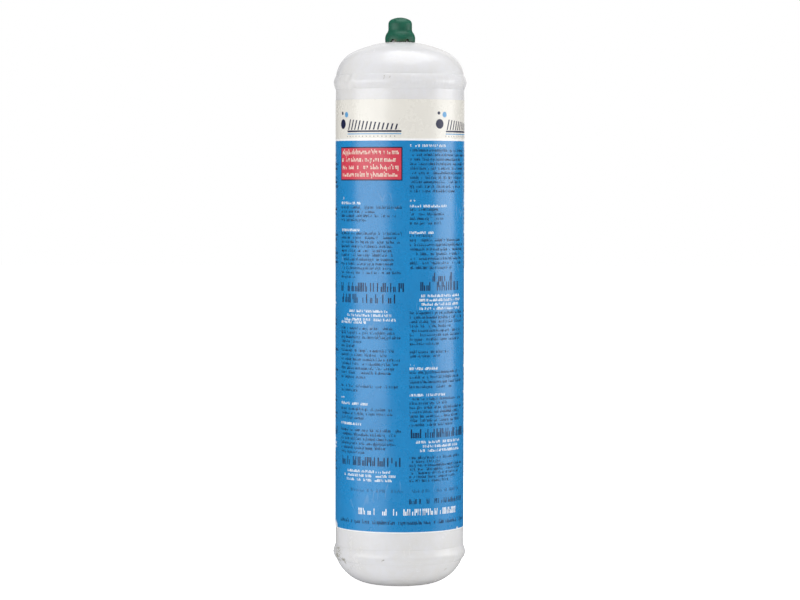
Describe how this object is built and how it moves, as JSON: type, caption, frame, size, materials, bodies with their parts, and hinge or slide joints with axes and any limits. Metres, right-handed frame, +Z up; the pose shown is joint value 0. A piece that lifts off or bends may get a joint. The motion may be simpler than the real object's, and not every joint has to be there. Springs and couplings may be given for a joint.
{
  "type": "oxygen cylinder",
  "caption": "Slim white welded-steel oxygen cylinder with dished ends, proud weld beads, a wrap-round printed label, a threaded self-closing valve and a green push-on cap.",
  "frame": {"origin": "middle of the flat standing face, on the vessel's axis", "axes": "+Z up along the vessel's axis to the valve; -Y is the front, where the red label panel starts at the left; +X to the right"},
  "size_m": [0.0726, 0.0726, 0.3089],
  "materials": {
    "painted_steel": "white semi-gloss enamel over steel",
    "painted_weld": "white enamel over a weld bead",
    "label_print": "printed film, blue with a cream band and a red panel",
    "copper_washer": "soft copper, dull",
    "valve_brass": "turned brass",
    "seal_polymer": "natural polyamide, matte",
    "seal_rubber": "black elastomer",
    "pin_steel": "drawn stainless steel",
    "spring_steel": "stainless spring wire",
    "sintered_bronze": "sintered, granular",
    "cap_plastic": "moulded green polyethylene, satin gloss"
  },
  "bodies": {
    "cylinder": {"body_tube": "painted_steel", "top_head": "painted_steel", "bottom_head": "painted_steel", "top_weld_bead": "painted_weld", "bottom_weld_bead": "painted_weld", "label_film": "label_print", "neck_boss": "painted_steel", "neck_weld": "painted_weld", "boss_gasket": "copper_washer", "valve_body": "valve_brass", "outlet_seal": "seal_polymer", "spring_retainer": "valve_brass", "inlet_filter": "sintered_bronze", "filter_clip": "spring_steel"},
    "valve_core": {"valve_pin": "pin_steel", "poppet": "valve_brass", "poppet_seal": "seal_rubber", "valve_spring": "spring_steel"},
    "cap": {"protective_cap": "cap_plastic"}
  },
  "joints": [
    {"name": "cap_pull", "type": "slide", "parent": "cylinder", "child": "cap", "axis": [0, 0, 1], "range_m": [0, 0.04]},
    {"name": "valve_open", "type": "slide", "parent": "cylinder", "child": "valve_core", "axis": [0, 0, -1], "range_m": [0, 0.0015], "stiffness_N_per_m": 1500, "springref_m": -0.002, "deforming": ["valve_spring"]}
  ]
}
